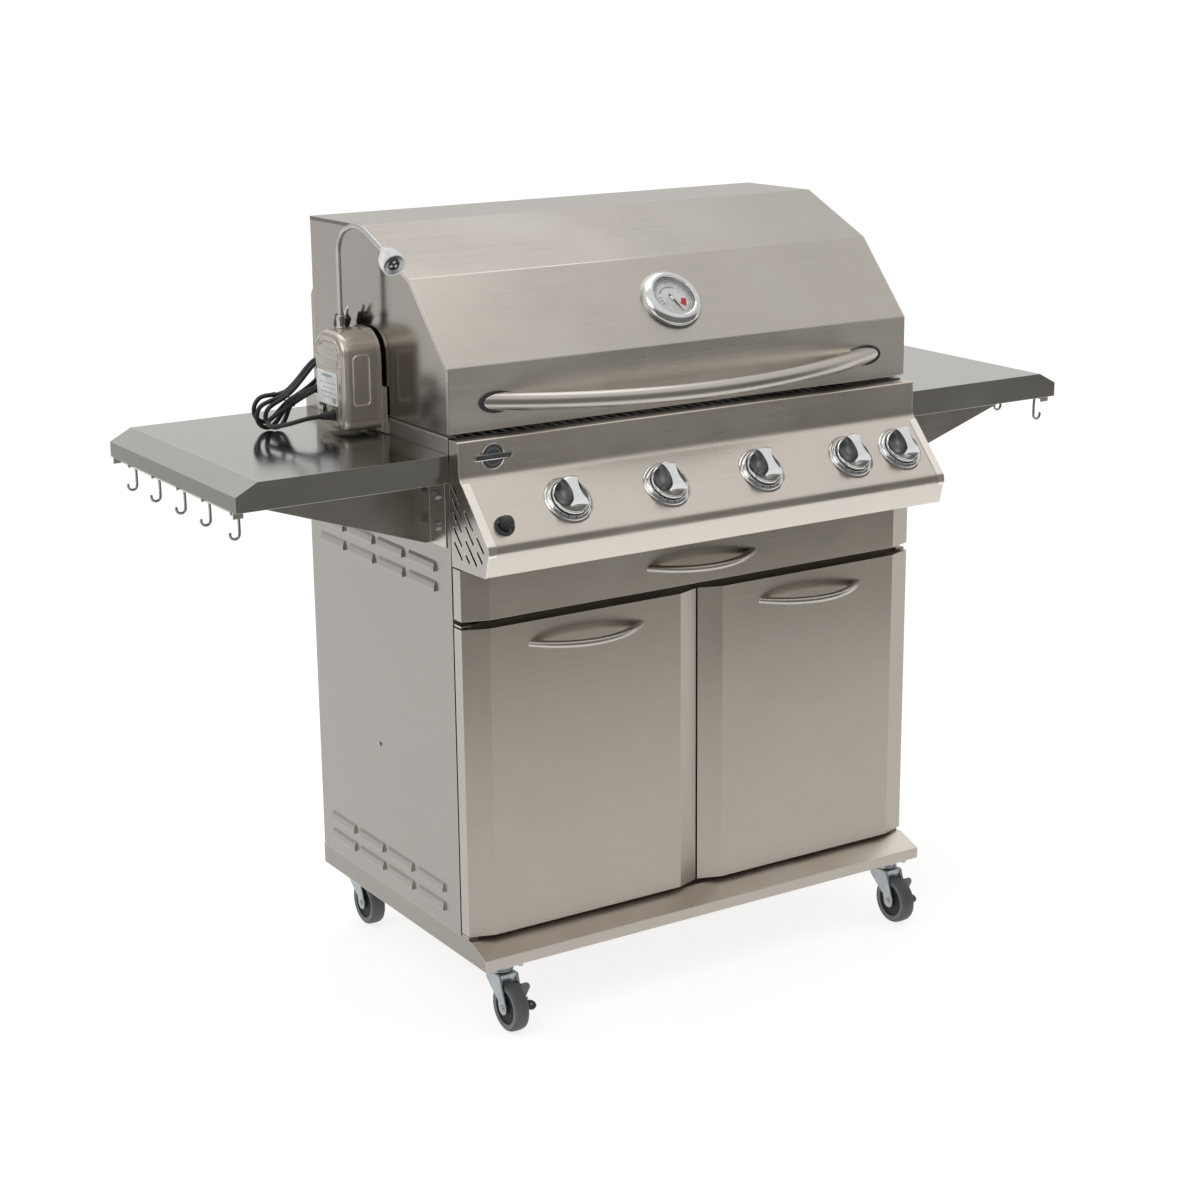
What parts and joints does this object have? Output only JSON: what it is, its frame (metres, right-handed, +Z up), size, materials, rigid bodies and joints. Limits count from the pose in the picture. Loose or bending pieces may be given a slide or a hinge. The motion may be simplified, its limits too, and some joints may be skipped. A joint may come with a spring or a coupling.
{
  "type": "gas barbecue grill",
  "caption": "Stainless gas barbecue grill on a wheeled cabinet, with hinged lid, side shelves, rotisserie motor and gooseneck lamp.",
  "frame": {"origin": "on the floor, below the centre of the whole grill's plan", "axes": "+X to the grill's right seen from the front, -Y towards the cook, +Z up"},
  "size_m": [1.508, 0.582, 1.2044],
  "materials": {
    "tray_steel": "brushed",
    "cabinet_steel": "brushed",
    "frame_steel": "brushed",
    "door_steel": "brushed",
    "handle_steel": "satin",
    "pan_steel": "plain mill",
    "firebox_steel": "plain mill",
    "lid_steel": "brushed",
    "panel_steel": "brushed",
    "chrome_trim": "polished",
    "knob_chrome": "polished with dark scoops",
    "black_plastic": "matte",
    "plate_metal": "satin",
    "manifold_brass": "plain",
    "burner_steel": "plain mill",
    "grate_steel": "polished rod",
    "black_rubber": "matte",
    "dial_white": "printed",
    "needle_black": "matte",
    "clear_glass": "clear",
    "shelf_steel": "brushed",
    "zinc_steel": "zinc plated",
    "grey_tyre": "grey rubber",
    "motor_steel": "pressed, satin",
    "neck_chrome": "ribbed",
    "lamp_silver": "satin",
    "cord_black": "matte"
  },
  "bodies": {
    "root": {"base_tray": "tray_steel", "cabinet_sides": "cabinet_steel", "cabinet_back": "cabinet_steel", "front_frame": "frame_steel", "firebox": "firebox_steel", "rear_hood": "lid_steel", "control_panel": "panel_steel", "control_bezels": "chrome_trim", "name_plate": "plate_metal", "gas_manifold": "manifold_brass", "burners": "burner_steel", "flame_tamers": "burner_steel", "cooking_grates": "grate_steel", "warming_rack": "grate_steel", "side_shelves": "shelf_steel", "shelf_brackets": "cabinet_steel", "hook_rails": "handle_steel", "caster_plates": "zinc_steel", "fasteners": "zinc_steel", "motor_housing": "motor_steel", "motor_bracket": "frame_steel", "cord_gland": "black_plastic", "gooseneck": "neck_chrome", "lamp_head": "lamp_silver", "power_cord": "cord_black", "cord_hank": "cord_black", "power_plug": "black_plastic"},
    "lid": {"lid_shell": "lid_steel", "lid_handle": "handle_steel", "lid_handle_seats": "black_rubber", "thermometer_case": "chrome_trim", "thermometer_dial": "dial_white", "thermometer_lens": "clear_glass"},
    "needle": {"thermometer_needle": "needle_black"},
    "left_door": {"door_left": "door_steel", "door_left_handle": "handle_steel"},
    "right_door": {"door_right": "door_steel", "door_right_handle": "handle_steel"},
    "drawer": {"drawer_front": "door_steel", "drip_pan": "pan_steel", "drawer_handle": "handle_steel"},
    "igniter": {"igniter_button": "black_plastic"},
    "spit": {"spit_drive": "frame_steel"},
    "hook_set_left": {"hooks_left": "chrome_trim"},
    "hook_set_right": {"hooks_right": "chrome_trim"},
    "knob_1": {"knob_1": "knob_chrome"},
    "knob_2": {"knob_2": "knob_chrome"},
    "knob_3": {"knob_3": "knob_chrome"},
    "knob_4": {"knob_4": "knob_chrome"},
    "knob_5": {"knob_5": "knob_chrome"},
    "caster_front_left": {"fork_front_left": "zinc_steel"},
    "roller_front_left": {"wheel_front_left": "grey_tyre"},
    "caster_front_right": {"fork_front_right": "zinc_steel"},
    "roller_front_right": {"wheel_front_right": "grey_tyre"},
    "caster_rear_left": {"fork_rear_left": "zinc_steel"},
    "roller_rear_left": {"wheel_rear_left": "grey_tyre"},
    "caster_rear_right": {"fork_rear_right": "zinc_steel"},
    "roller_rear_right": {"wheel_rear_right": "grey_tyre"},
    "pedal_left": {"brake_left": "black_plastic"},
    "pedal_right": {"brake_right": "black_plastic"}
  },
  "joints": [
    {"name": "lid_hinge", "type": "hinge", "parent": "root", "child": "lid", "pos_m": [0, 0.2, 0.96], "axis": [-1, 0, 0], "range_deg": [0, 80]},
    {"name": "needle_turn", "type": "hinge", "parent": "lid", "child": "needle", "pos_m": [0, -0.1304, 1.06708], "axis": [0, 0.7357, -0.6773], "range_deg": [0, 290], "stiffness_Nm_per_rad": 0.002},
    {"name": "door_left_hinge", "type": "hinge", "parent": "root", "child": "left_door", "pos_m": [-0.4108, -0.19, 0.386], "axis": [0, 0, -1], "range_deg": [0, 105]},
    {"name": "door_right_hinge", "type": "hinge", "parent": "root", "child": "right_door", "pos_m": [0.4108, -0.19, 0.386], "axis": [0, 0, 1], "range_deg": [0, 105]},
    {"name": "drawer_slide", "type": "slide", "parent": "root", "child": "drawer", "axis": [0, -1, 0], "range_m": [0, 0.32]},
    {"name": "knob_1_turn", "type": "hinge", "parent": "root", "child": "knob_1", "pos_m": [-0.261, -0.2493, 0.81192], "axis": [0, -0.7305, 0.683], "range_deg": [0, 200]},
    {"name": "knob_2_turn", "type": "hinge", "parent": "root", "child": "knob_2", "pos_m": [-0.088, -0.2493, 0.81192], "axis": [0, -0.7305, 0.683], "range_deg": [0, 200]},
    {"name": "knob_3_turn", "type": "hinge", "parent": "root", "child": "knob_3", "pos_m": [0.088, -0.2493, 0.81192], "axis": [0, -0.7305, 0.683], "range_deg": [0, 200]},
    {"name": "knob_4_turn", "type": "hinge", "parent": "root", "child": "knob_4", "pos_m": [0.261, -0.2493, 0.81192], "axis": [0, -0.7305, 0.683], "range_deg": [0, 200]},
    {"name": "knob_5_turn", "type": "hinge", "parent": "root", "child": "knob_5", "pos_m": [0.36, -0.2493, 0.81192], "axis": [0, -0.7305, 0.683], "range_deg": [0, 200]},
    {"name": "igniter_press", "type": "slide", "parent": "root", "child": "igniter", "axis": [0, 0.7305, -0.683], "range_m": [0, 0.004], "stiffness_N_per_m": 500, "springref_m": -0.001},
    {"name": "spit_turn", "type": "hinge", "parent": "root", "child": "spit", "pos_m": [-0.43, 0.069, 0.925], "axis": [1, 0, 0], "continuous": true},
    {"name": "hooks_left_swing", "type": "hinge", "parent": "root", "child": "hook_set_left", "pos_m": [-0.743, 0.04, 0.839], "axis": [0, 1, 0], "range_deg": [-50, 50]},
    {"name": "hooks_right_swing", "type": "hinge", "parent": "root", "child": "hook_set_right", "pos_m": [0.743, 0.04, 0.839], "axis": [0, 1, 0], "range_deg": [-50, 50]},
    {"name": "swivel_front_left", "type": "hinge", "parent": "root", "child": "caster_front_left", "pos_m": [-0.375, -0.222, 0.09], "axis": [0, 0, 1], "continuous": true},
    {"name": "roll_front_left", "type": "hinge", "parent": "caster_front_left", "child": "roller_front_left", "pos_m": [-0.375, -0.249, 0.038], "axis": [1, 0, 0], "continuous": true},
    {"name": "swivel_front_right", "type": "hinge", "parent": "root", "child": "caster_front_right", "pos_m": [0.375, -0.222, 0.09], "axis": [0, 0, 1], "continuous": true},
    {"name": "roll_front_right", "type": "hinge", "parent": "caster_front_right", "child": "roller_front_right", "pos_m": [0.375, -0.249, 0.038], "axis": [1, 0, 0], "continuous": true},
    {"name": "swivel_rear_left", "type": "hinge", "parent": "root", "child": "caster_rear_left", "pos_m": [-0.365, 0.265, 0.09], "axis": [0, 0, 1], "continuous": true},
    {"name": "roll_rear_left", "type": "hinge", "parent": "caster_rear_left", "child": "roller_rear_left", "pos_m": [-0.365, 0.238, 0.038], "axis": [1, 0, 0], "continuous": true},
    {"name": "swivel_rear_right", "type": "hinge", "parent": "root", "child": "caster_rear_right", "pos_m": [0.365, 0.265, 0.09], "axis": [0, 0, 1], "continuous": true},
    {"name": "roll_rear_right", "type": "hinge", "parent": "caster_rear_right", "child": "roller_rear_right", "pos_m": [0.365, 0.238, 0.038], "axis": [1, 0, 0], "continuous": true},
    {"name": "brake_left_press", "type": "hinge", "parent": "caster_front_left", "child": "pedal_left", "pos_m": [-0.3562, -0.243, 0.066], "axis": [1, 0, 0], "range_deg": [0, 18]},
    {"name": "brake_right_press", "type": "hinge", "parent": "caster_front_right", "child": "pedal_right", "pos_m": [0.3938, -0.243, 0.066], "axis": [1, 0, 0], "range_deg": [0, 18]}
  ]
}
